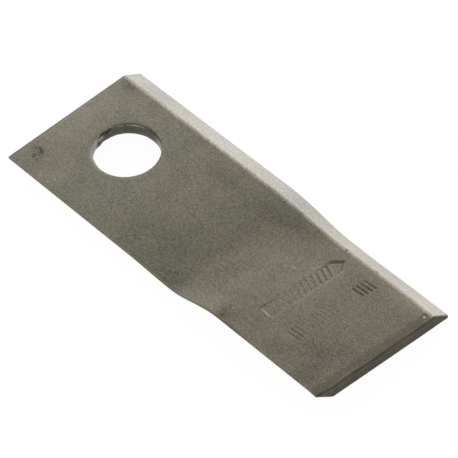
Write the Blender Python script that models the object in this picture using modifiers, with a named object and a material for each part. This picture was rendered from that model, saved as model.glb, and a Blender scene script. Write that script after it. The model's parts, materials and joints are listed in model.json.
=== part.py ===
"""A twisted blade for a rotary disc mower.

One piece of flat spring steel. A bolt hole is punched at the hub end, each long edge is ground
to a bevel on the opposite face from the other, so that the blade can be turned over when it is
worn, and the outer half is twisted in a die, so that it lifts the cut crop.

The blade lies along +X, hub end at -X, with the hub end level and its outer half turned about X.
The origin is at the middle of its plan, at the height of its lowest edge. Units are metres.
"""

import math

import bmesh
import bpy
from mathutils import Matrix, Vector

# The rolled bar and its ground edges
blade_length = 0.120
bar_width = 0.048
bar_thickness = 0.004
bevel_width = 0.0055
edge_land = 0.00055

# The sheared ends
shear_roll = 0.0004
corner_radius = 0.0005

# The bolt hole, punched from the upper face
hole_diameter = 0.019
hole_from_end = 0.0212
hole_roll = 0.0004
hole_flare = 0.0004
hole_tear_height = 0.0016

# The twist, with its stations measured from the hub end
near_dip_start = 0.0482
near_rise_start = 0.0647
near_rise_end = 0.0822
near_dip = 0.0006
near_rise = 0.00285
far_fall_start = 0.0622
far_fall_end = 0.0842
far_fall = 0.0029

# How finely the curved faces are divided
twist_stations = 30
twist_strips = 8
roll_segments = 3
hole_segments = 72
hole_roll_segments = 4
merge_distance = 0.00001
flat_angle = math.radians(1)

steel_colour = (0.19, 0.18, 0.155, 1.0)
steel_roughness = 0.5


def clear_scene():
    """Empty the file of objects, so that the blade is all that it holds."""
    for old in list(bpy.data.objects):
        bpy.data.objects.remove(old)


def new_collection(name):
    """A collection under the scene's own."""
    collection = bpy.data.collections.new(name)
    bpy.context.scene.collection.children.link(collection)
    return collection


def hardened_steel():
    """Dark satin steel, as it leaves the hardening furnace."""
    material = bpy.data.materials.new("hardened_steel")
    material.use_nodes = True
    shader = material.node_tree.nodes["Principled BSDF"]
    shader.inputs["Base Color"].default_value = steel_colour
    shader.inputs["Metallic"].default_value = 1.0
    shader.inputs["Roughness"].default_value = steel_roughness
    return material


def bar_section():
    """Outline of the bar in (across, up), the far edge ground on top and the near one below."""
    side = bar_width / 2
    face = bar_thickness / 2
    return [
        (-side, face),
        (-side, face - edge_land),
        (-side + bevel_width, -face),
        (side, -face),
        (side, -face + edge_land),
        (side - bevel_width, face),
    ]


def rolled_bar():
    """The bar as a mesh: the section drawn as a filled curve and run along X."""
    outline = bar_section()
    curve = bpy.data.curves.new("bar_section", "CURVE")
    curve.dimensions = "2D"
    curve.fill_mode = "BOTH"
    curve.extrude = blade_length / 2
    spline = curve.splines.new("POLY")
    spline.points.add(len(outline) - 1)
    for point, (across, up) in zip(spline.points, outline):
        point.co = (across, up, 0.0, 1.0)
    spline.use_cyclic_u = True

    drawn = bpy.data.objects.new("bar_section", curve)
    bpy.context.scene.collection.objects.link(drawn)
    bpy.context.view_layer.update()
    evaluated = drawn.evaluated_get(bpy.context.evaluated_depsgraph_get())
    mesh = bpy.data.meshes.new_from_object(evaluated)
    bpy.data.objects.remove(drawn)

    # The curve's own X, Y and Z become across, up and along
    mesh.transform(Matrix(((0, 0, 1, 0), (1, 0, 0, 0), (0, 1, 0, 0), (0, 0, 0, 1))))
    return mesh


def edges_where(bar, test):
    """The edges whose two ends both pass the test."""
    return [edge for edge in bar.edges if all(test(vert.co) for vert in edge.verts)]


def shear_ends(bar):
    """Round the corners of the plan, and draw down the upper edge of both sheared ends."""
    end = blade_length / 2
    side = bar_width / 2
    face = bar_thickness / 2

    def at_end(point):
        return abs(abs(point.x) - end) < merge_distance

    def on_flank(point):
        near = point.y < -side + bevel_width + merge_distance
        far = point.y > side - bevel_width - merge_distance
        return at_end(point) and (near or far)

    def is_corner(edge):
        low, high = sorted(vert.co.z for vert in edge.verts)
        return high - low > merge_distance and all(on_flank(vert.co) for vert in edge.verts)

    corners = [edge for edge in bar.edges if is_corner(edge)]
    bmesh.ops.bevel(
        bar,
        geom=corners,
        offset=corner_radius,
        offset_type="OFFSET",
        segments=roll_segments,
        profile=0.5,
        affect="EDGES",
        material=-1,
    )

    def on_top_edge(point):
        return at_end(point) and abs(point.z - face) < merge_distance

    bmesh.ops.bevel(
        bar,
        geom=edges_where(bar, on_top_edge),
        offset=shear_roll,
        offset_type="OFFSET",
        segments=roll_segments,
        profile=0.5,
        affect="EDGES",
        material=-1,
    )


def slice_for_twist(bar):
    """Cut the bar's faces into stations and strips where the twist will bend them."""
    start = min(near_dip_start, far_fall_start) - blade_length / 2
    stop = max(near_rise_end, far_fall_end) - blade_length / 2
    for station in range(twist_stations + 1):
        along = start + (stop - start) * station / twist_stations
        bmesh.ops.bisect_plane(
            bar,
            geom=bar.verts[:] + bar.edges[:] + bar.faces[:],
            plane_co=Vector((along, 0, 0)),
            plane_no=Vector((1, 0, 0)),
        )

    for strip in range(1, twist_strips):
        across = bar_width * (strip / twist_strips - 0.5)
        bent = [face for face in bar.faces if start < face.calc_center_median().x < stop]
        bent_edges = {edge for face in bent for edge in face.edges}
        bent_verts = {vert for face in bent for vert in face.verts}
        bmesh.ops.bisect_plane(
            bar,
            geom=list(bent_verts) + list(bent_edges) + bent,
            plane_co=Vector((0, across, 0)),
            plane_no=Vector((0, 1, 0)),
        )


def ease(value, start, stop):
    """A smooth step from 0 at start to 1 at stop."""
    share = min(max((value - start) / (stop - start), 0.0), 1.0)
    return share * share * (3 - 2 * share)


def near_edge_height(station):
    """Height of the near edge: it dips a little before the die's step, then rises."""
    dipped = -near_dip * ease(station, near_dip_start, near_rise_start)
    return dipped + (near_dip + near_rise) * ease(station, near_rise_start, near_rise_end)


def far_edge_height(station):
    """Height of the far edge, which the die sets down."""
    return -far_fall * ease(station, far_fall_start, far_fall_end)


def twist(bar):
    """Turn each cross-section about X, as its two long edges go to their heights."""
    for vert in bar.verts:
        station = vert.co.x + blade_length / 2
        near = near_edge_height(station)
        far = far_edge_height(station)
        turn = math.asin((far - near) / bar_width)
        lift = (near + far) / 2
        across = vert.co.y * math.cos(turn) - vert.co.z * math.sin(turn)
        up = vert.co.y * math.sin(turn) + vert.co.z * math.cos(turn)
        vert.co = Vector((vert.co.x, across, up + lift))


def punch_profile():
    """Half-profile of the punched hole in (radius, height), from the top of the cut down."""
    radius = hole_diameter / 2
    face = bar_thickness / 2
    clear = bar_thickness / 2
    profile = [(0.0, face + clear), (radius + hole_roll, face + clear)]
    for step in range(hole_roll_segments + 1):
        angle = math.pi / 2 * step / hole_roll_segments
        out = radius + hole_roll * (1 - math.sin(angle))
        profile.append((out, face - hole_roll * (1 - math.cos(angle))))
    slope = hole_flare / hole_tear_height
    profile.append((radius, -face + hole_tear_height))
    profile.append((radius + hole_flare + slope * clear, -face - clear))
    profile.append((0.0, -face - clear))
    return profile


def punch(collection):
    """The turned body that the bolt hole is cut with."""
    profile = punch_profile()
    mesh = bpy.data.meshes.new("bolt_hole")
    points = [(radius, 0.0, height) for radius, height in profile]
    links = [(step, step + 1) for step in range(len(points) - 1)]
    mesh.from_pydata(points, links, [])

    cutter = bpy.data.objects.new("bolt_hole", mesh)
    cutter.hide_render = True
    cutter.display_type = "WIRE"
    collection.objects.link(cutter)

    screw = cutter.modifiers.new("turned", "SCREW")
    screw.steps = hole_segments
    screw.render_steps = hole_segments
    screw.use_merge_vertices = True
    screw.merge_threshold = merge_distance
    return cutter


def lowest(mesh):
    """Height of the mesh's lowest point."""
    return min(vert.co.z for vert in mesh.vertices)


clear_scene()
blade_parts = new_collection("mower_blade")
cutters = new_collection("cutters")

blade_mesh = rolled_bar()
bar = bmesh.new()
bar.from_mesh(blade_mesh)
bmesh.ops.remove_doubles(bar, verts=bar.verts, dist=merge_distance)
bmesh.ops.dissolve_limit(bar, angle_limit=flat_angle, verts=bar.verts, edges=bar.edges)
shear_ends(bar)
slice_for_twist(bar)
twist(bar)
bmesh.ops.recalc_face_normals(bar, faces=bar.faces)
bar.to_mesh(blade_mesh)
bar.free()

# The level hub end is raised by as much as the far edge hangs below it
hub_middle = -lowest(blade_mesh)
blade_mesh.transform(Matrix.Translation((0, 0, hub_middle)))

blade_mesh.name = "blade"
blade = bpy.data.objects.new("blade", blade_mesh)
blade_parts.objects.link(blade)
blade_mesh.materials.clear()
blade_mesh.materials.append(hardened_steel())

hole_punch = punch(cutters)
hole_punch.location = (hole_from_end - blade_length / 2, 0, hub_middle)

bolt_hole = blade.modifiers.new("bolt hole", "BOOLEAN")
bolt_hole.operation = "DIFFERENCE"
bolt_hole.solver = "EXACT"
bolt_hole.object = hole_punch
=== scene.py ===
import json
import math

import bmesh
import bpy
import numpy as np
from mathutils import Matrix, Vector, noise


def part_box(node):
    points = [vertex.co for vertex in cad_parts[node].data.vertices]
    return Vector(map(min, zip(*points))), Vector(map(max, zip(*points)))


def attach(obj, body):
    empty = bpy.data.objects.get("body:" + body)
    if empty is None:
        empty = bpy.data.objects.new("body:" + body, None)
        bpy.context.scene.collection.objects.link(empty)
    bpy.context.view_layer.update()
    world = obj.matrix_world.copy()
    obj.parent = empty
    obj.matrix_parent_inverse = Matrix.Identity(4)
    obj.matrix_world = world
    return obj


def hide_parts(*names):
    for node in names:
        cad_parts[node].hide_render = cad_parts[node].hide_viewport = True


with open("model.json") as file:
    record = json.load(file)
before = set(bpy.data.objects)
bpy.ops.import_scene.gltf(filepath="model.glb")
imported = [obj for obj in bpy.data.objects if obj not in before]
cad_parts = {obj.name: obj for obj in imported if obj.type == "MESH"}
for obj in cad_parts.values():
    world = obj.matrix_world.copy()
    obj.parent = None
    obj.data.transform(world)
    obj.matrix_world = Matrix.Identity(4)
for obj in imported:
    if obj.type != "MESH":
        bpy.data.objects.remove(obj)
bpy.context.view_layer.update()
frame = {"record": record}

# The rolled bar
# The blade starts as a length of flat spring steel, sawn or sheared from a rolled bar. It lies along
# X with its hub end at -X, and until it is twisted its middle plane is at Z = 0.
mm = 0.001
low_corner, high_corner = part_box("blade")
half_length = (high_corner.x - low_corner.x) / 2
bar_width = 48 * mm
bar_thickness = 4 * mm
half_width = bar_width / 2
half_thickness = bar_thickness / 2

# The ground edges
# Each long edge is ground to a bevel that stops short of the opposite face and leaves a narrow land
# to be sharpened. The far edge is ground on the upper face, and the near edge on the lower one.
bevel_width = 5.5 * mm
near_bevel_width = 5.3 * mm
edge_land = 0.55 * mm
near_edge_land = 0.65 * mm
section_outline = [
    (-half_width, half_thickness),
    (-half_width, half_thickness - near_edge_land),
    (-half_width + near_bevel_width, -half_thickness),
    (half_width, -half_thickness),
    (half_width, -half_thickness + edge_land),
    (half_width - bevel_width, half_thickness),
]
bar = bmesh.new()
section_verts = [bar.verts.new((-half_length, across, up)) for across, up in section_outline]
section = bar.faces.new(section_verts)
drawn_out = bmesh.ops.extrude_face_region(bar, geom=[section])
drawn_verts = [item for item in drawn_out["geom"] if isinstance(item, bmesh.types.BMVert)]
bmesh.ops.translate(bar, vec=(2 * half_length, 0, 0), verts=drawn_verts)
bmesh.ops.recalc_face_normals(bar, faces=bar.faces)

# The sheared ends
# Both ends are cut off in a shear from above. The blade draws the upper edge down into a shallow
# roll, slides past a burnished band and tears the rest, which stands back a little behind it.
hub_corner_radius = 0.2 * mm
far_tip_radius = 0.6 * mm
near_tip_radius = 0.5 * mm
upper_arris = 0.06 * mm
lower_arris = 0.03 * mm
weld = 0.002 * mm


def round_edges(mesh, edges, radius, segments):
    """Round a set of edges to a radius."""
    bmesh.ops.bevel(
        mesh,
        geom=edges,
        offset=radius,
        offset_type="OFFSET",
        segments=segments,
        profile=0.5,
        affect="EDGES",
        material=-1,
    )


def is_corner(edge):
    """Whether an edge stands upright at one of the four corners of the plan."""
    points = [vert.co for vert in edge.verts]
    on_end = all(abs(abs(point.x) - half_length) < weld for point in points)
    on_flank = all(abs(point.y) > half_width - bevel_width - weld for point in points)
    same_side = points[0].y * points[1].y > 0
    return on_end and on_flank and same_side and abs(points[0].z - points[1].z) > weld


def rim_of(mesh, height):
    """The edges round the flat face at a height."""
    flat = [face for face in mesh.faces if all(abs(vert.co.z - height) < weld for vert in face.verts)]
    return list(dict.fromkeys(edge for face in flat for edge in face.edges))


# The corners of each end, hub at -1 and tip at 1, on the near side -1 and the far side 1
for radius, end, sides in (
    (hub_corner_radius, -1, (-1, 1)),
    (far_tip_radius, 1, (1,)),
    (near_tip_radius, 1, (-1,)),
):
    end_corners = [edge for edge in bar.edges if is_corner(edge) and edge.verts[0].co.x * end > 0]
    corners = [edge for edge in end_corners if math.copysign(1, edge.verts[0].co.y) in sides]
    round_edges(bar, corners, radius, 5)
round_edges(bar, rim_of(bar, half_thickness), upper_arris, 4)
round_edges(bar, rim_of(bar, -half_thickness), lower_arris, 2)

# The bolt hole
# A round hole is punched from above. The punch draws its rim down over a wide shallow curve and a
# tight one, burnishes the wall, and breaks out of the lower face with a torn flare, which is uneven
# round the hole. On the side towards the hub end the wall has chipped right up to the rim.
hole_centre = Vector((21.3 * mm - half_length, 0.08 * mm, 0))
hole_radius = 9.43 * mm
hole_roll = 0.22 * mm
hole_dish = 1.3 * mm
hole_dish_depth = 0.08 * mm
hole_tear = 1.3 * mm
# How far the flare stands back at the lower face, in millimetres, at azimuths round the hole in degrees
hole_flare = [
    (0, 0.03), (50, 0.03), (66, 0.1), (74, 0.22), (90, 0.24), (110, 0.36),
    (130, 0.46), (150, 0.54), (162, 0.48), (173, 0.3), (180, 0.4), (186, 0.28),
    (192, -0.14), (198, 0.08), (205, 0.28), (213, 0.2), (222, 0.03), (360, 0.03),
]
tear_roughness = 0.05 * mm
steel_grain = 1 / (1.3 * mm)
# The wall is chipped round one azimuth, and stands in a little round another
chip_middle = math.radians(184)
chip_spread = math.radians(24)
chip_depth = 0.3 * mm
tight_middle = math.radians(245)
tight_spread = math.radians(20)
tightness = 0.17 * mm
hole_segments = 240
rim_steps = 6
wall_steps = 4


def hole_profile():
    """Half-profile of the punch in (radius, height), from above the bar to below it."""
    outer = hole_radius + hole_roll
    shoulder = half_thickness - hole_dish_depth
    profile = [(0.0, bar_thickness), (outer + hole_dish, bar_thickness)]
    for step in range(rim_steps + 1):
        share = step / rim_steps
        height = half_thickness - hole_dish_depth * share * share + weld * (1 - share)
        profile.append((outer + hole_dish * (1 - share), height))
    for step in range(1, rim_steps + 1):
        angle = math.pi / 2 * step / rim_steps
        out = outer - hole_roll * math.sin(angle)
        profile.append((out, shoulder - hole_roll * (1 - math.cos(angle))))
    wall_top = profile[-1][1]
    wall_foot = -half_thickness + hole_tear
    heights = [wall_top + (wall_foot - wall_top) * step / wall_steps for step in range(1, wall_steps + 1)]
    heights += [wall_foot - hole_tear * (step / rim_steps) for step in range(1, rim_steps + 1)]
    profile += [(hole_radius, height) for height in heights]
    profile += [(hole_radius, -bar_thickness), (0.0, -bar_thickness)]
    return profile


def roughen_hole(point):
    """Move one point of the punch out or in, where the wall is torn, chipped or tight."""
    radius = math.hypot(point.x, point.y)
    shoulder = half_thickness - hole_dish_depth
    if radius < hole_radius - weld or point.z > half_thickness - weld:
        return point
    azimuth = math.atan2(point.y, point.x) % math.tau
    torn = min(max((-half_thickness + hole_tear - point.z) / hole_tear, 0.0), 1.0)
    chipped = max(1 - ((azimuth - chip_middle) / chip_spread) ** 2, 0.0)
    tight = max(1 - ((azimuth - tight_middle) / tight_spread) ** 2, 0.0)
    coarse = noise.noise(point * steel_grain)
    fine = noise.noise(point * steel_grain * 3)
    below_rim = min(max((shoulder - 0.1 * mm - point.z) / (0.3 * mm), 0.0), 1.0)
    flare = np.interp(math.degrees(azimuth), *zip(*hole_flare)) * mm
    out = torn * tear_roughness * (coarse + fine)
    out += math.sqrt(torn) * flare
    out += chipped * below_rim * chip_depth * max(0.25 + coarse + 0.5 * fine, 0.0)
    out -= tight * tightness
    return Vector((point.x * (1 + out / radius), point.y * (1 + out / radius), point.z))


punch_mesh = bmesh.new()
profile_verts = [punch_mesh.verts.new((radius, 0, height)) for radius, height in hole_profile()]
for above, below in zip(profile_verts, profile_verts[1:]):
    punch_mesh.edges.new((above, below))
bmesh.ops.spin(
    punch_mesh,
    geom=punch_mesh.verts[:] + punch_mesh.edges[:],
    axis=(0, 0, 1),
    angle=math.tau,
    steps=hole_segments,
    use_merge=True,
)
bmesh.ops.remove_doubles(punch_mesh, verts=punch_mesh.verts, dist=weld)
bmesh.ops.recalc_face_normals(punch_mesh, faces=punch_mesh.faces)
for vert in punch_mesh.verts:
    vert.co = roughen_hole(vert.co)
bmesh.ops.translate(punch_mesh, vec=hole_centre, verts=punch_mesh.verts)


def as_object(mesh_data, name):
    """Put a bmesh into an object of its own."""
    mesh = bpy.data.meshes.new(name)
    mesh_data.to_mesh(mesh)
    mesh_data.free()
    made = bpy.data.objects.new(name, mesh)
    bpy.context.scene.collection.objects.link(made)
    return made


uncut_bar = as_object(bar, "uncut_bar")
punch = as_object(punch_mesh, "punch")
punching = uncut_bar.modifiers.new("punching", "BOOLEAN")
punching.operation = "DIFFERENCE"
punching.solver = "EXACT"
punching.object = punch
bpy.context.view_layer.update()
punched_bar = uncut_bar.evaluated_get(bpy.context.evaluated_depsgraph_get())
blade_mesh = bmesh.new()
blade_mesh.from_mesh(punched_bar.to_mesh())
bpy.data.objects.remove(uncut_bar)
bpy.data.objects.remove(punch)

# Slices for the twist
# The plain faces are cut into small cells, closer together at the two ends, so that they can bend
# in the die, sag at the tip and take stamps and dents.
cell = 0.75 * mm
# Millimetres in from each end, and up from the bar's middle
end_slices = [0.3, 0.5, 0.75, 1.0, 1.3, 1.7, 2.1, 2.6, 3.1, 3.7]
height_slices = [-1.5, -1.0, -0.5, 0.0, 0.5, 1.0, 1.5]
end_skin = 0.25 * mm


def slice_mesh(mesh, place, normal, test=None):
    """Cut the faces that pass a test along a plane."""
    faces = [face for face in mesh.faces if test is None or test(face.calc_center_median())]
    edges = dict.fromkeys(edge for face in faces for edge in face.edges)
    verts = dict.fromkeys(vert for face in faces for vert in face.verts)
    bmesh.ops.bisect_plane(
        mesh,
        geom=[*verts, *edges, *faces],
        dist=weld / 2,
        plane_co=place,
        plane_no=normal,
    )


def near_end(point):
    """Whether a point lies on or just inside a sheared end."""
    return abs(point.x) > half_length - end_skin


stations = [sign * (half_length - inset * mm) for inset in end_slices for sign in (-1, 1)]
plain_length = 2 * (half_length - end_slices[-1] * mm)
plain_steps = round(plain_length / cell)
for step in range(1, plain_steps):
    stations.append(plain_length * (step / plain_steps - 0.5))
for along in stations:
    slice_mesh(blade_mesh, Vector((along, 0, 0)), Vector((1, 0, 0)))
strips = round(bar_width / cell)
for step in range(1, strips):
    slice_mesh(blade_mesh, Vector((0, bar_width * (step / strips - 0.5), 0)), Vector((0, 1, 0)))
for height in height_slices:
    slice_mesh(blade_mesh, Vector((0, 0, height * mm)), Vector((0, 0, 1)), near_end)

# The stamps and marks
# Two stamps are struck across the outer half before it is twisted: a sunk arrow with a hatched
# shaft, and a row of plain tally strokes. Near the tip stands the round dint of a hardness test.
stamp_half_width = 0.4 * mm
# The arrow, and the margin of cells round both stamps, in millimetres along and across the bar
stamp_margin = 0.7
arrow_start = 27.7
arrow_stop = 32.9
arrow_tip = (30.3, 15.6)
arrow_outline = [
    (arrow_start, -13.8),
    (arrow_stop, -13.8),
    (arrow_stop, 12.6),
    arrow_tip,
    (arrow_start, 12.6),
]
field_edge = 0.4 * mm
# Two strokes mark the arrow's head and a row of slanted ones its shaft, from one side to the other
head_strokes = [(28.4, 11.9, 30.3, 14.4, 0.2), (32.2, 11.9, 30.3, 14.4, 0.2)]
hatch_strokes = 11
hatch_start = 32.0
hatch_stop = 28.6
hatch_first = -10.6
hatch_pitch = 1.9
hatch_rise = 1.5
# Groups of tally strokes: where the first one lies across the bar, how many they are, and their depth
tally_groups = [(-14.2, 3, 0.17), (-5.6, 5, 0.07), (9.4, 4, 0.24)]
tally_start = 38.9
tally_stop = 42.6
tally_pitch = 1.45
tally_rise = 0.3
hardness_dint = Vector((57.85, 16.35, 0)) * mm
dint_radius = 0.8 * mm
dint_depth = 0.15 * mm
edge_nicks = [Vector((27.7, 18.45, 0)) * mm, Vector((38.6, 18.7, 0)) * mm]
nick_radius = 0.45 * mm
nick_depth = 0.16 * mm
pitted_spots = [(Vector((-55.9, -17.0, 0)) * mm, 2.0 * mm), (Vector((23.6, -22.2, 0)) * mm, 2.2 * mm)]
pit_depth = 0.14 * mm
pit_size = 0.55 * mm
# The walls of the stamps that face this side get a painted highlight, and those that face away painted
# shade
lit_side = np.array((-0.5, 0.866))


def stamp_strokes():
    """Every straight stroke of both stamps, as its two ends in millimetres and its depth."""
    strokes = list(head_strokes)
    for step in range(hatch_strokes):
        across = hatch_first + hatch_pitch * step
        depth = 0.08 + 0.16 * step / (hatch_strokes - 1)
        strokes.append((hatch_start, across, hatch_stop, across + hatch_rise, depth))
    for first, count, depth in tally_groups:
        for step in range(count):
            across = first + tally_pitch * step
            strokes.append((tally_start, across, tally_stop, across + tally_rise, depth))
    return strokes


def refine(mesh, test, cuts):
    """Divide the upper face's cells that pass a test."""
    faces = [face for face in mesh.faces if face.normal.z > 0.5 and test(face.calc_center_median())]
    edges = list(dict.fromkeys(edge for face in faces for edge in face.edges))
    bmesh.ops.subdivide_edges(mesh, edges=edges, cuts=cuts, use_grid_fill=True)


def in_stamp(point):
    """Whether a point lies in the rectangle of either stamp."""
    along = point.x / mm
    across = point.y / mm
    in_arrow = arrow_start - stamp_margin < along < arrow_stop + stamp_margin
    in_tally = tally_start - stamp_margin < along < tally_stop + stamp_margin
    in_row = tally_groups[0][0] - stamp_margin < across < arrow_tip[1] + stamp_margin
    return (in_arrow or in_tally) and in_row


def plan_distance(point, centre):
    """Distance between two places on the bar's plan."""
    return math.hypot(point.x - centre.x, point.y - centre.y)


def in_small_mark(point):
    """Whether a point lies in a dint, nick or pitted spot."""
    marks = [(hardness_dint, 1.5 * dint_radius)]
    marks += [(centre, 2 * nick_radius) for centre in edge_nicks]
    marks += pitted_spots
    return any(plan_distance(point, centre) < radius + cell / 2 for centre, radius in marks)


refine(blade_mesh, in_stamp, 5)
refine(blade_mesh, in_small_mark, 6)
bmesh.ops.remove_doubles(blade_mesh, verts=blade_mesh.verts, dist=weld / 20)
blade = as_object(blade_mesh, "blade_steel")
bar_place = np.empty(len(blade.data.vertices) * 3)
blade.data.vertices.foreach_get("co", bar_place)
bar_place = bar_place.reshape(-1, 3)
formed = bar_place.copy()


def ease(value, start, stop):
    """A smooth step from 0 at start to 1 at stop."""
    share = np.clip((value - start) / (stop - start), 0, 1)
    return share * share * (3 - 2 * share)


def ripple(points, size, seed):
    """Smooth noise between about -1 and 1 at each point, with features of a size."""
    shift = Vector((seed * 7.3, seed * 3.1, seed * 5.7))
    return np.array([noise.noise(Vector(point) / size + shift) for point in points])


def from_stroke(plan, stroke):
    """Distance of each point of the plan from a stroke."""
    start = np.array(stroke[0:2]) * mm
    along = np.array(stroke[2:4]) * mm - start
    share = np.clip((plan - start) @ along / (along @ along), 0, 1)
    return np.linalg.norm(plan - start - share[:, None] * along, axis=1)


def inside_arrow(plan):
    """How far each point of the plan lies inside the arrow's outline."""
    inside = np.full(len(plan), np.inf)
    for start, stop in zip(arrow_outline, arrow_outline[1:] + arrow_outline[:1]):
        side = np.array(stop) - np.array(start)
        inwards = np.array((-side[1], side[0])) / np.linalg.norm(side)
        inside = np.minimum(inside, (plan - np.array(start) * mm) @ inwards)
    return inside


def stamp_depth(plan):
    """Depth of both stamps at each point of the plan. The arrow is struck deeper at its two ends."""
    across = plan[:, 1] / mm
    field_depth = 0.05 + 0.1 * ease(across, -8, -13) + 0.11 * ease(across, 4, 14)
    depth = field_depth * mm * ease(inside_arrow(plan), 0, field_edge)
    groove = np.zeros(len(plan))
    for stroke in stamp_strokes():
        beside = from_stroke(plan, stroke) / stamp_half_width
        groove = np.maximum(groove, stroke[4] * mm * ease(1 - beside, 0, 1))
    return depth + groove


on_top = bar_place[:, 2] > half_thickness - 0.5 * mm
short_of_bevel = bar_place[:, 1] < half_width - bevel_width + 1.0 * mm
past_start = bar_place[:, 0] > (arrow_start - stamp_margin) * mm
before_stop = bar_place[:, 0] < (tally_stop + stamp_margin) * mm
struck = np.flatnonzero(on_top & short_of_bevel & past_start & before_stop)
plan = bar_place[struck, :2]
struck_unevenly = np.clip(0.85 + 0.4 * ripple(bar_place[struck], 6 * mm, 6), 0.4, 1)
formed[struck, 2] -= stamp_depth(plan) * struck_unevenly
reach = 0.1 * mm
fall = stamp_depth(plan + reach * lit_side) - stamp_depth(plan - reach * lit_side)
stamp_lean = np.zeros(len(bar_place))
stamp_lean[struck] = fall / (2 * reach) * struck_unevenly

dents = [(hardness_dint, dint_radius, dint_depth)]
dents += [(nick, nick_radius, nick_depth) for nick in edge_nicks]
for centre, radius, depth in dents:
    beside = np.hypot(bar_place[:, 0] - centre.x, bar_place[:, 1] - centre.y) / radius
    bowl = np.sqrt(np.clip(1 - beside**2, 0, 1))
    raised_ring = 0.12 * np.exp(-((beside - 1.15) / 0.18) ** 2)
    formed[:, 2] -= np.where(bar_place[:, 2] > 0, depth * (bowl - raised_ring), 0)

for centre, radius in pitted_spots:
    beside = np.hypot(bar_place[:, 0] - centre.x, bar_place[:, 1] - centre.y) / radius
    pitted = np.flatnonzero((beside < 1) & (bar_place[:, 2] > half_thickness - weld))
    pits = np.clip(ripple(bar_place[pitted], pit_size, 2) + 0.1, 0, 1) * (1 - beside[pitted] ** 2)
    formed[pitted, 2] -= pit_depth * pits

# The drawn-down tip and the torn ends
# At the tip the shear bends the last few millimetres of the upper face down in a straight lip. At
# both ends the face below the burnished band is torn, and stands back unevenly.
lip_slope = 0.1
lip_start = 3.6 * mm
lip_bend = 1.0 * mm
burnished_band = 1.5 * mm
tear_depth = 0.07 * mm
coarse_tear = 1.1 * mm
fine_tear = 0.4 * mm
inset = half_length - np.abs(bar_place[:, 0])
bent = np.clip(lip_start - inset, 0, lip_bend)
lip = lip_slope * (bent**2 / (2 * lip_bend) + np.clip(lip_start - lip_bend - inset, 0, None))
not_ground = 1 - ease(bar_place[:, 1], half_width - bevel_width - 1.5 * mm, half_width - bevel_width)
share_up = np.clip((bar_place[:, 2] + half_thickness) / bar_thickness, 0, 1)
formed[:, 2] -= lip * (bar_place[:, 0] > 0) * not_ground * share_up

at_end = np.flatnonzero(inset < 0.02 * mm)
torn = ease(half_thickness - bar_place[at_end, 2], burnished_band, burnished_band + 0.4 * mm)
tear = 0.45 + 0.55 * ripple(bar_place[at_end], coarse_tear, 3)
tear += 0.3 * ripple(bar_place[at_end], fine_tear, 4)
formed[at_end, 0] -= np.sign(bar_place[at_end, 0]) * tear_depth * torn * np.clip(tear, 0, 1)

# The corners of the tip are sheared back a little, the near one more: how far, and from which place
# across the bar to which, in millimetres
corner_set_backs = [(0.5, -18.3, -24), (0.045, 15, 20)]
set_back_start = 53 * mm
towards_tip = ease(bar_place[:, 0], set_back_start, half_length)
for set_back, start, stop in corner_set_backs:
    formed[:, 0] -= set_back * mm * towards_tip * ease(bar_place[:, 1], start * mm, stop * mm)

# The far edge is ground in a little further beside the stamps
far_hollow = 0.13 * mm
hollow_middle = 34 * mm
hollow_reach = 6 * mm
hollow = np.exp(-(((bar_place[:, 0] - hollow_middle) / hollow_reach) ** 2))
formed[:, 1] -= far_hollow * hollow * ease(bar_place[:, 1], half_width - bevel_width, half_width)

# A bar from the rolling mill is never quite flat
flat_ripple = 0.012 * mm
ripple_size = 11 * mm
inside = np.flatnonzero(inset > 0.3 * mm)
formed[inside, 2] -= flat_ripple * (0.5 + 0.5 * ripple(bar_place[inside] * (1, 1, 0), ripple_size, 5))

# The twist
# The outer half is bent in a die while hot: the near edge dips a little, then rises, and the far
# edge is set down, so that each section is turned about X and the tip lies turned by 7 degrees.
# The stations are measured from the hub end
near_dip_start = 48.2 * mm
near_rise_start = 64.7 * mm
near_rise_end = 82.2 * mm
near_dip = 0.6 * mm
near_rise = 2.85 * mm
far_fall_start = 59.5 * mm
far_fall_end = 84.8 * mm
far_fall = 2.9 * mm
hub_face = Vector(frame["record"]["mounts"][0]["pos_m"])


def twist(points):
    """Turn each cross-section about X, as its two long edges go to their heights."""
    station = points[:, 0] + half_length
    near = -near_dip * ease(station, near_dip_start, near_rise_start)
    near += (near_dip + near_rise) * ease(station, near_rise_start, near_rise_end)
    far = -far_fall * ease(station, far_fall_start, far_fall_end)
    turn = np.arcsin((far - near) / bar_width)
    across = points[:, 1] * np.cos(turn) - points[:, 2] * np.sin(turn)
    up = points[:, 1] * np.sin(turn) + points[:, 2] * np.cos(turn)
    hub_middle = hub_face.z - half_thickness
    return np.column_stack((points[:, 0], across, up + (near + far) / 2 + hub_middle))


blade.data.vertices.foreach_set("co", twist(formed).ravel())
blade.data.update()
blade.data.shade_smooth()
blade.data.set_sharp_from_angle(angle=math.radians(35))

stored_place = blade.data.attributes.new("bar", "FLOAT_VECTOR", "POINT")
stored_place.data.foreach_set("vector", bar_place.ravel())
stored_lean = blade.data.attributes.new("lean", "FLOAT", "POINT")
stored_lean.data.foreach_set("value", stamp_lean)

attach(blade, "root")
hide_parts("blade")

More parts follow.
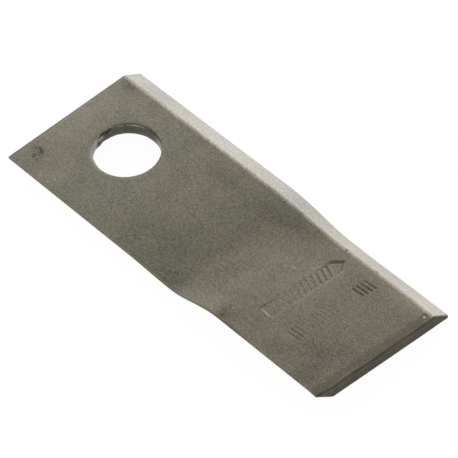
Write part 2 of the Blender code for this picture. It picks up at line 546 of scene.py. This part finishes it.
# The surface of the steel
# The hardened blade is blasted clean, which leaves a fine dark satin, olive over the hub and browner
# over the twisted half. The ground bevels are bright, and the sheared and punched walls are dark.
hub_satin = (0.186, 0.1735, 0.1385, 1)
olive_satin = (0.186, 0.173, 0.134, 1)
brown_satin = (0.183, 0.1625, 0.127, 1)
# The ground bevels, also painted highlights in two small marks
ground_and_highlight_colour = (0.585, 0.55, 0.487, 1)
rosy_ground_colour = (0.615, 0.562, 0.49, 1)
ground_outer_colour = (0.56, 0.542, 0.5, 1)
sheared_colour = (0.07, 0.061, 0.0435, 1)
burnished_colour = (0.083, 0.073, 0.052, 1)
punched_colour = (0.1, 0.094, 0.076)
# Painted light on the hole's wall and painted highlights on its rim
painted_light_colour = (0.42, 0.4, 0.35, 1)
rust_colour = (0.15, 0.105, 0.075, 1)
# Pits and dirt, also painted shade on the stamps' walls, then scuffs, also painted highlights on the
# stamps' walls and along the tip's edge
pit_and_shade_colour = (0.055, 0.047, 0.035, 1)
scuff_and_highlight_colour = (0.34, 0.325, 0.28, 1)
grain_colour = (0.17, 0.162, 0.14)
# Chips in the hole's wall, also a painted shade line along its rim
chip_and_rim_shade_colour = (0.03, 0.02, 0.008, 1)
# Places and sizes on the steel are in millimetres. The satin turns brown over this stretch of the bar
brown_start = -4
brown_stop = 26
# Chips in the wall of the hole, at a distance from its axis: azimuth, height, radius and strength
chip_distance = 9.5
chips = [
    (190, 1.3, 0.8, 0.6),
    (185, 1.6, 0.9, 0.8),
    (181, 1.6, 0.7, 0.7),
    (177, 0.9, 0.9, 0.8),
    (172, 1.3, 0.9, 1),
    (168, 1.6, 0.7, 0.8),
    (196, -0.9, 0.8, 1),
    (193, -0.6, 0.9, 1),
    (186, -1.3, 0.7, 0.7),
    (168, -1.2, 0.9, 0.35),
    (172, 0.8, 0.45, 1),
    (194, -1.0, 0.5, 1),
    (188, 1.3, 0.5, 0.8),
    (84, 1.4, 0.5, 0.6),
    (79, 1.3, 0.4, 0.5),
    (74, 1.2, 0.4, 0.4),
]
# Clouds of painted light and shade in the satin, partly its own tint: middle along and across, half
# sizes, and how much lighter each is
light_and_shade_clouds = [
    (13, -8, 7, 9, -0.16),
    (29, 5, 11, 8, 0.15),
    (52, 17, 12, 6, 0.24),
    (53, -21, 8, 6, -0.16),
    (-47, -21, 8, 6, 0.13),
    (-58, 0, 11, 28, 0.2),
    (-57, 17, 5, 4, -0.2),
    (-46, -14, 5, 5, 0.1),
    (-12, -16, 14, 13, -0.19),
    (13, -15, 11, 8, -0.2),
    (-13, 12, 9, 6, -0.17),
    (13, 14, 8, 5, -0.18),
    (20, 6, 4, 6, 0.13),
    (36, 17, 22, 4, 0.15),
    (52, -9, 9, 10, -0.16),
    (24, -21, 6, 4, -0.18),
    (-55, -17.5, 4, 3.5, -0.14),
    (58, 18, 4, 2.5, 0.2),
    (-55.5, -17, 3.4, 3.2, -0.16),
    (2, -2, 15, 40, -0.13),
    (4, -21, 9, 7, -0.18),
    (3, 12, 13, 5, -0.07),
    (47, -14, 9, 6, -0.16),
    (30, 8, 11, 9, 0.08),
    (-26, -1, 3.5, 7, 0.1),
    (-13, 6.5, 4, 4, -0.1),
    (2, 0, 8, 9, 0.1),
    (28, -2, 13, 9, 0.09),
    (43, -18.5, 11, 4.5, -0.13),
    (19, -15, 6, 4, -0.07),
    (-11, -17, 5, 4, 0.1),
    (-50, 15, 3.5, 3.5, 0.08),
    (-27, 15, 4, 3.5, -0.08),
    (-27, -12, 4, 4, -0.06),
    (40, -20, 5, 4, -0.1),
    (52, -17, 4, 3.5, -0.1),
    (-26, 3, 2.5, 3, 0.09),
    (40, 16, 4, 2.5, -0.07),
    (15, -2, 5, 5, -0.07),
    (-8, -17, 4, 3, 0.07),
    (-2, -13, 5, 4, -0.07),
    (-2, 7, 4, 3, 0.07),
    (-56, -17, 2.5, 2, 0.08),
    (-14, -9, 4, 3, -0.06),
    (-8, -9, 4, 3, 0.05),
    (-56, 16.4, 3.5, 3, -0.15),
    (-53, 16.2, 2.2, 2, -0.09),
]
# Patches that stay olive where the satin turns brown: middle and half sizes
olive_clouds = [(43, -19, 12, 5.5), (17, 1, 5, 6.5), (27, -9, 10, 7), (22, 13, 5, 4)]
# Clouds along the bevels: middle along, half length, and how much lighter each is
bevel_clouds = [(-48, 9, -0.1), (-23, 20, 0.06), (8, 12, -0.08), (27, 9, 0.04), (55, 16, 0.1)]
# Marks: middle along and across, turn in degrees, half length, half width, strength
rust_marks = [
    (23.4, -22.4, 20, 3.2, 1.3, 0.5),
    (17.9, 16.5, 84, 1.6, 0.45, 0.85),
    (-56.9, -22.6, 60, 1.4, 0.8, 0.22),
    (-58.3, -14.2, 80, 1.2, 0.7, 0.25),
]
pit_marks = [
    (23.4, -22.7, 35, 0.75, 0.42, 0.85),
    (26.7, -21.8, 0, 0.5, 0.38, 0.6),
    (22.1, -20.3, 60, 0.6, 0.3, 0.4),
    (-55.9, -15.9, -8, 1.7, 0.5, 0.75),
    (-54.8, -16.4, -20, 1.2, 0.5, 0.8),
    (-55.4, -18.4, 10, 0.7, 0.35, 0.8),
    (-55.3, -19.2, 0, 0.8, 0.4, 0.8),
    (-57.1, -16.5, 0, 0.8, 0.4, 0.4),
    (-54.3, -17.7, 0, 0.5, 0.35, 0.35),
    (-53.4, -19.2, 20, 1.0, 0.4, 0.35),
    (-51.6, -19.8, 20, 0.8, 0.35, 0.35),
    (-8.5, 2.4, 0, 0.3, 0.3, 0.5),
    (9.0, -2.3, 0, 0.3, 0.3, 0.5),
    (10.3, 2.9, 0, 0.3, 0.3, 0.45),
    (20.9, 13.4, 0, 0.35, 0.3, 0.6),
    (57.8, 17.3, -20, 0.8, 0.4, 0.5),
    (58.4, 15.3, -10, 0.6, 0.35, 0.4),
]
scuff_and_highlight_marks = [
    (-56.3, -17.3, -12, 0.9, 0.4, 0.6),
    (-45.7, -22.4, 30, 0.5, 0.4, 0.8),
    (-44.6, -20.5, 30, 0.5, 0.4, 0.8),
    (-17.5, 3.0, 0, 0.35, 0.3, 0.5),
    (-2.0, 4.5, 0, 0.35, 0.3, 0.5),
    (22.1, 6.8, -7, 1.1, 0.2, 0.5),
    (21.3, 2.0, 25, 1.2, 0.3, 0.4),
    (23.1, 3.3, 40, 1.1, 0.35, 0.75),
    (-31.6, -12.7, -34, 3.8, 0.16, 0.3),
    # The last three lie along the tip's edge on the near side as a painted highlight line
    (58.9, -10.0, 90, 0.9, 0.3, 0.4),
    (59.1, -13.8, 90, 0.7, 0.3, 0.35),
    (59.0, -12.5, 90, 5.5, 0.42, 0.32),
]
# Painted highlights: on the lit wall of the arrow's near stroke, and in the middle of the hardness dint
painted_highlights = [
    (30.3, -13.65, 0, 2.9, 0.25, 0.55),
    (58.0, 16.45, 0, 0.6, 0.5, 0.9),
]


class Shade:
    """A value, colour or vector in a shader, which Python's arithmetic turns into nodes."""

    def __init__(self, tree, socket=None):
        self.tree = tree
        self.socket = socket

    def node(self, kind, settings=None, inputs=None, output=0):
        """Add a node, its settings first, and hand back one of its outputs."""
        made = self.tree.nodes.new(kind)
        for name, value in (settings or {}).items():
            setattr(made, name, value)
        for name, value in (inputs or {}).items():
            if isinstance(value, Shade):
                self.tree.links.new(value.socket, made.inputs[name])
            else:
                made.inputs[name].default_value = value
        return Shade(self.tree, made.outputs[output])

    def maths(self, operation, *values):
        """Add a Math node."""
        return self.node("ShaderNodeMath", {"operation": operation}, dict(enumerate(values)))

    def vector(self, operation, *values, output=0):
        """Add a Vector Math node that has this as its first vector."""
        inputs = dict(enumerate((self, *values)))
        return self.node("ShaderNodeVectorMath", {"operation": operation}, inputs, output)

    def __add__(self, other):
        return self.maths("ADD", self, other)

    def __sub__(self, other):
        return self.maths("SUBTRACT", self, other)

    def __rsub__(self, other):
        return self.maths("SUBTRACT", other, self)

    def __mul__(self, other):
        return self.maths("MULTIPLY", self, other)

    def __abs__(self):
        return self.maths("ABSOLUTE", self)

    __radd__ = __add__
    __rmul__ = __mul__

    def most(self, other):
        """The greater of two values."""
        return self.maths("MAXIMUM", self, other)

    def between(self, start, stop):
        """A smooth step from 0 at start to 1 at stop."""
        inputs = {"Value": self, "From Min": start, "From Max": stop}
        return self.node("ShaderNodeMapRange", {"interpolation_type": "SMOOTHSTEP"}, inputs)

    def over(self, under, top):
        """One colour laid over another, where this mask is 1."""
        return self.node("ShaderNodeMix", {"data_type": "RGBA"}, {0: self, 6: under, 7: top}, output=2)

    def scaled(self, factor):
        """This vector or colour, longer or lighter by a factor."""
        return self.node("ShaderNodeVectorMath", {"operation": "SCALE"}, {0: self, "Scale": factor})

    def tinting(self, colour):
        """A plain colour, scaled by this factor."""
        return self.node("ShaderNodeVectorMath", {"operation": "SCALE"}, {0: colour, "Scale": self})

    def along(self, axis):
        """One coordinate of this place."""
        return self.node("ShaderNodeSeparateXYZ", inputs={0: self}, output=axis)

    def grain(self, size, detail=2, seed=0, stretch=1):
        """Noise from about -0.5 to 0.5 here, in spots of a size that may be drawn out along X."""
        spots = self.vector("MULTIPLY_ADD", (1 / size / stretch, 1 / size, 1 / size), (seed, seed, seed))
        inputs = {"Vector": spots, "Scale": 1, "Detail": detail}
        return self.node("ShaderNodeTexNoise", inputs=inputs) - 0.5

    def mark(self, middle, turn, half_sizes, core):
        """Mask of an oval mark: 1 within its core, a share of it, and 0 outside."""
        inputs = {0: self, 1: middle, 2: (0, 0, math.radians(turn)), 3: half_sizes}
        from_middle = self.node("ShaderNodeMapping", {"vector_type": "TEXTURE"}, inputs)
        return from_middle.vector("LENGTH", output=1).between(1, core)


steel = bpy.data.materials.new("steel")
steel.use_nodes = True
finish = steel.node_tree.nodes["Principled BSDF"]

# The place on the bar before its twist, in millimetres
stored = Shade(steel.node_tree).node("ShaderNodeAttribute", {"attribute_name": "bar"}, output=1)
place = stored.scaled(1 / mm)
x = place.along(0)
y = place.along(1)
z = place.along(2)
upper_face = half_thickness / mm


def cloud(along, across, half_along, half_across):
    """Soft mask of a broad patch of the upper face."""
    return place.mark((along, across, upper_face), 0, (half_along, half_across, 6), 0)


# The satin: two tints, mottled, with a fine grain and clouds of painted light and shade
worn = place.grain(6, 2, 11)
mottle = place.grain(4.5, 3, 3)
fleck = place.grain(0.9, 2, 5)
grit = place.grain(0.42, 1, 7)
to_brown = (x + worn * 30).between(brown_start, brown_stop)
browned = to_brown * 0.85 + mottle * 0.7
for along, across, half_along, half_across in olive_clouds:
    browned = browned - cloud(along, across, half_along, half_across) * 0.9
hub_tint = x.between(-32, -14).over(hub_satin, olive_satin)
tinted = browned.over(hub_tint, brown_satin)
tone_light_and_shade = 1 + worn * 0.12 + mottle * 0.3
for along, across, half_along, half_across, lighter in light_and_shade_clouds:
    tone_light_and_shade = tone_light_and_shade + cloud(along, across, half_along, half_across) * lighter
grain_light = (fleck * 0.6 + grit * 1.4).tinting(grain_colour)
satin = tinted.scaled(tone_light_and_shade).vector("ADD", grain_light)

# Small marks, ragged at their edges, and painted highlights among them
ragged = place.node("ShaderNodeTexNoise", inputs={"Vector": place, "Scale": 1.6, "Detail": 2}, output=1)
ragged = ragged.vector("SUBTRACT", (0.5, 0.5, 0.5)).vector("ADD", place)
for marks, mark_colour in (
    (rust_marks, rust_colour),
    (pit_marks, pit_and_shade_colour),
    (scuff_and_highlight_marks, scuff_and_highlight_colour),
    (painted_highlights, ground_and_highlight_colour),
):
    for along, across, turn, half_long, half_wide, strength in marks:
        mark = ragged.mark((along, across, upper_face), turn, (half_long, half_wide, 4), 0.3)
        satin = (mark * strength).over(satin, mark_colour)
pitting = place.grain(0.9, 1, 31).between(0.26, 0.32) * 0.12
spattered = ragged.mark((-55.6, -17.4, upper_face), 0, (3.6, 3.2, 4), 0.3)
spatter = spattered * place.grain(0.7, 1, 53).between(0, 0.12) * 0.4
satin = pitting.most(spatter).over(satin, pit_and_shade_colour)
glints = place.grain(0.6, 1, 47).between(0.2, 0.3) * 0.5
satin = glints.over(satin, scuff_and_highlight_colour)

# The walls of the stamps: painted shade on one side, a painted highlight on the other
lean = place.node("ShaderNodeAttribute", {"attribute_name": "lean"}, output=2)
satin = (lean.between(-0.02, -0.6) * 0.6).over(satin, pit_and_shade_colour)
satin = (lean.between(0.02, 0.6) * 0.6).over(satin, scuff_and_highlight_colour)

# The rims of the upper face: a painted highlight along the near edge, dimmer over one stretch, lighter at
# the hub end and darker at the tip
dim_rim_stretch = x.between(12, 18) * x.between(36, 28)
near_edge_highlight = (y + fleck * 0.8).between(-23.4, -23.9) * (0.3 - dim_rim_stretch * 0.35)
hub_rim = (x + fleck * 0.6).between(-58.6, -59.5) * 0.08
tip_rim = (x + fleck * 1.2).between(56.8, 58.2) * 0.13
satin = satin.scaled(1 + near_edge_highlight + hub_rim - tip_rim)

# The ground bevels: bright, with fine lines along them, and a soft ragged shoulder
lines = place.grain(0.35, 2, 13, stretch=14)
shine = place.grain(2.4, 2, 17, stretch=3)
outer_share = (y - 18.5) * (1 / 5.5) + shine * 1.2
inner_tint = x.between(8, 24).over(ground_and_highlight_colour, rosy_ground_colour)
bevel_tint = outer_share.between(0, 1).over(inner_tint, ground_outer_colour)
bevel_light = 1 + lines * 0.15 + shine * 0.1 + fleck * 0.4 + grit * 0.8
for along, half_along, lighter in bevel_clouds:
    bevel_light = bevel_light + place.mark((along, 21, 0), 0, (half_along, 20, 20), 0) * lighter
bevel_tint = bevel_tint.scaled(bevel_light)
nicked = (fleck * 0.9 + mottle * 0.5) * (1 - to_brown * 0.7) + x.between(51, 60) * 0.35
bevels = []
for side, width in ((1, bevel_width), (-1, near_bevel_width)):
    shoulder = (half_width - width) / mm
    from_middle = y * side + nicked
    worn_shoulder = from_middle.between(shoulder - 1.2, shoulder + 0.1)
    past_shoulder = from_middle.between(shoulder - 0.05, shoulder + 0.5)
    bevels.append((worn_shoulder + past_shoulder) * 0.5 * (z * side).between(-1.7, -1.5))
ground = bevels[0].most(bevels[1])
colour = ground.over(satin, bevel_tint)
for nick in edge_nicks:
    dark_nick = ragged.mark((nick.x / mm, nick.y / mm, upper_face), 20, (0.75, 0.4, 2), 0.3)
    colour = (dark_nick * 0.75).over(colour, pit_and_shade_colour)

# The bolt hole: a dark brownish wall with chips and a burnished patch, painted light on two sides of the
# wall, a painted shadow and a painted shade line along the rim, and painted highlights on its rolled rim
from_axis = place.vector("SUBTRACT", hole_centre / mm).vector("MULTIPLY", (1, 1, 0))
axis_distance = from_axis.vector("LENGTH", output=1)
hole_side = from_axis.vector("NORMALIZE")
wall_radius = hole_radius / mm


def facing(azimuth, spread):
    """Mask of the part of the wall and rim round an azimuth, both in degrees."""
    turn = math.radians(azimuth)
    share = hole_side.vector("DOT_PRODUCT", (math.cos(turn), math.sin(turn), 0), output=1)
    return share.between(math.cos(math.radians(spread)), math.cos(math.radians(spread / 4)))


def past_wall(start, stop):
    """A smooth step between two distances outside the wall, in millimetres."""
    return axis_distance.between(wall_radius + start, wall_radius + stop)


between_faces = z.between(1.5, 1.35) * z.between(-1.99, -1.93)
wall = past_wall(0.27, 0.17).most(past_wall(1.07, 0.87) * between_faces)
punched_wall_and_shadow = (1 + mottle * 0.5 + fleck * 0.8).tinting(punched_colour)
# Painted light on two sides of the wall, and a burnished patch
painted_wall_light = (facing(225, 50) * (0.75 + mottle)).most(facing(54, 32) * (0.6 + fleck))
burnished_patch = facing(187, 13) * z.between(-0.7, 0.1) * z.between(1.3, 0.7)
painted_wall_light = painted_wall_light.most(burnished_patch * (0.3 + fleck * 3.5))
punched_wall_and_shadow = painted_wall_light.over(punched_wall_and_shadow, painted_light_colour)
for azimuth, height, radius, strength in chips:
    turn = math.radians(azimuth)
    chip_place = Vector((chip_distance * math.cos(turn), chip_distance * math.sin(turn), height))
    chip_sizes = (radius, radius, radius * 0.7)
    chip = ragged.mark(hole_centre / mm + chip_place, azimuth + 90, chip_sizes, 0.5)
    punched_wall_and_shadow = (chip * strength).over(punched_wall_and_shadow, chip_and_rim_shade_colour)
# A painted shadow above the far rim, in the wall's colour, and a painted shade line along the rim
shadow_line = past_wall(1.27, 0.27) * facing(124, 48)
shadow_line = shadow_line.most(past_wall(0.47, 0.27) * facing(90, 40) * 0.7)
colour = shadow_line.over(colour, punched_wall_and_shadow)
colour = wall.over(colour, punched_wall_and_shadow)
rim_shade = past_wall(0.02, 0.07) * past_wall(0.37, 0.27) * facing(76, 22) * z.between(1.5, 1.6)
colour = (rim_shade * 0.8).over(colour, chip_and_rim_shade_colour)
# Painted highlights on the rim and along its rolled edge
rim_highlight = past_wall(1.07, 0.17) * facing(247, 40) * z.between(1.2, 1.4)
colour = (rim_highlight * (0.4 + fleck)).over(colour, painted_light_colour)
rolled_rim_highlight = past_wall(0.19, 0.09) * z.between(1.55, 1.65) * facing(134, 36)
rim_highlight_strength = 0.35 + fleck * 4 + facing(117, 16) * 0.8
colour = (rolled_rim_highlight * rim_highlight_strength).over(colour, painted_light_colour)

# The sheared ends and the lands of the bevels: dark and brownish, with a lighter burnished band
burnished = z.between(0.2, 0.7) * z.between(1.9, 1.7)
sheared_and_edge_shade = (burnished + mottle).over(sheared_colour, burnished_colour)
sheared_and_edge_shade = sheared_and_edge_shade.scaled(1 + mottle * 0.8 + fleck * 1.2 + grit * 0.8)
cut_end = abs(x).between(59.74, 59.86)
colour = cut_end.over(colour, sheared_and_edge_shade)
flank = abs(y).between(23.9, 23.97) * (1 - ground)
colour = (flank * (0.4 + fleck * 2 + dim_rim_stretch * 0.3)).over(colour, sheared_and_edge_shade)
# A painted shade line along the top of the tip's end, in the sheared colour
tip_edge_shade = x.between(59.3, 59.75) * (0.55 + fleck + ground * 0.2)
colour = tip_edge_shade.over(colour, sheared_and_edge_shade)

roughness = 0.5 + fleck * 0.12 - ground * 0.06 + wall.most(cut_end) * 0.05
height = (fleck * 0.012 + grit * 0.01) * (1 - ground * 0.8) + lines * ground * 0.004
relief = place.node("ShaderNodeBump", inputs={"Strength": 1, "Distance": mm, "Height": height})
finish.inputs["Metallic"].default_value = 1
for socket, value in (("Base Color", colour), ("Roughness", roughness), ("Normal", relief)):
    steel.node_tree.links.new(value.socket, finish.inputs[socket])
blade.data.materials.append(steel)

# The table
# The blade lies on a wide table with a raised rim. The camera and the steel's gloss see it evenly
# white apart from the blade's soft shadow, and other light comes back from it as from pale grey.
floor_radius = 5.0
floor_rim = 1.0
floor_glow = 0.955
shadowed_white = (0.08, 0.08, 0.08, 1)
bounced_white = (0.7, 0.7, 0.7, 1)
floor_mesh = bmesh.new()
bmesh.ops.create_circle(floor_mesh, cap_ends=True, radius=floor_radius, segments=64)
rim_edges = [edge for edge in floor_mesh.edges if edge.is_boundary]
raised = bmesh.ops.extrude_edge_only(floor_mesh, edges=rim_edges)
raised_verts = [item for item in raised["geom"] if isinstance(item, bmesh.types.BMVert)]
bmesh.ops.translate(floor_mesh, vec=(0, 0, floor_rim), verts=raised_verts)
bmesh.ops.recalc_face_normals(floor_mesh, faces=floor_mesh.faces)
floor = as_object(floor_mesh, "floor")
table = bpy.data.materials.new("white_table")
table.use_nodes = True
surface = Shade(table.node_tree)
matte = surface.node("ShaderNodeBsdfDiffuse", inputs={"Color": bounced_white})
faint = surface.node("ShaderNodeBsdfDiffuse", inputs={"Color": shadowed_white})
glow = surface.node("ShaderNodeEmission", inputs={"Color": (1, 1, 1, 1), "Strength": floor_glow})
seen = surface.node("ShaderNodeAddShader", inputs={0: faint, 1: glow})
camera_ray = surface.node("ShaderNodeLightPath", output="Is Camera Ray")
glossy_ray = surface.node("ShaderNodeLightPath", output="Is Glossy Ray")
clear_ray = surface.node("ShaderNodeLightPath", output="Is Transmission Ray")
in_view = camera_ray.most(glossy_ray).most(clear_ray)
mixed = surface.node("ShaderNodeMixShader", inputs={0: in_view, 1: matte, 2: seen})
table.node_tree.links.new(mixed.socket, table.node_tree.nodes["Material Output"].inputs["Surface"])
floor.data.materials.append(table)

# The studio
# The room is evenly white. A wide softbox stands beyond the far edge, on the hub's side, and a small
# one hangs close to the hub end and brightens its satin.
room_level = 0.65
world = bpy.data.worlds.new("studio")
bpy.context.scene.world = world
world.use_nodes = True
world.node_tree.nodes["Background"].inputs["Color"].default_value = (1, 1, 1, 1)
world.node_tree.nodes["Background"].inputs["Strength"].default_value = room_level


def softbox(name, where, towards, width, height, level):
    """A rectangular lamp of a plain level, which faces along a direction and isn't seen itself."""
    lamp_data = bpy.data.lights.new(name, "AREA")
    lamp_data.shape = "RECTANGLE"
    lamp_data.size = width
    lamp_data.size_y = height
    lamp_data.energy = math.pi * width * height * level
    lamp = bpy.data.objects.new(name, lamp_data)
    lamp.matrix_world = Matrix.Translation(where) @ towards.to_track_quat("-Z", "Y").to_matrix().to_4x4()
    lamp.visible_camera = False
    bpy.context.scene.collection.objects.link(lamp)


wide_place = Vector((-0.4, 0.4, 0.3))
softbox("wide_softbox", wide_place, -wide_place, 0.5, 0.3, 1.5)
slant = Vector((-0.4994, 0.4198, 0.7579))
close_place = Vector((-0.13, 0.02, 0.007)) + 0.2 * slant
softbox("close_softbox", close_place, -slant, 0.12, 0.12, 0.68)

# The camera
# A long lens looks down on the blade from its near side, beyond the tip, so that the hub end lies to
# the left and a little further off.
camera_place = Vector((0.41002, -0.34299, 0.62672))
camera_elevation = math.radians(49.277)
camera_heading = math.radians(139.947)
camera_roll = math.radians(4.149)
camera_lens = 243.05
camera_data = bpy.data.cameras.new("camera")
camera_data.lens = camera_lens
camera_data.sensor_width = 36
camera_data.clip_start = 0.01
camera = bpy.data.objects.new("camera", camera_data)
bpy.context.scene.collection.objects.link(camera)
forward = Vector((
    math.cos(camera_elevation) * math.cos(camera_heading),
    math.cos(camera_elevation) * math.sin(camera_heading),
    -math.sin(camera_elevation),
))
level_right = forward.cross(Vector((0, 0, 1))).normalized()
rolled_right = Matrix.Rotation(camera_roll, 3, forward) @ level_right
rolled_up = rolled_right.cross(forward)
turned = Matrix((rolled_right, rolled_up, -forward)).transposed()
camera.matrix_world = Matrix.Translation(camera_place) @ turned.to_4x4()
bpy.context.scene.camera = camera
bpy.context.scene.view_settings.view_transform = "Standard"
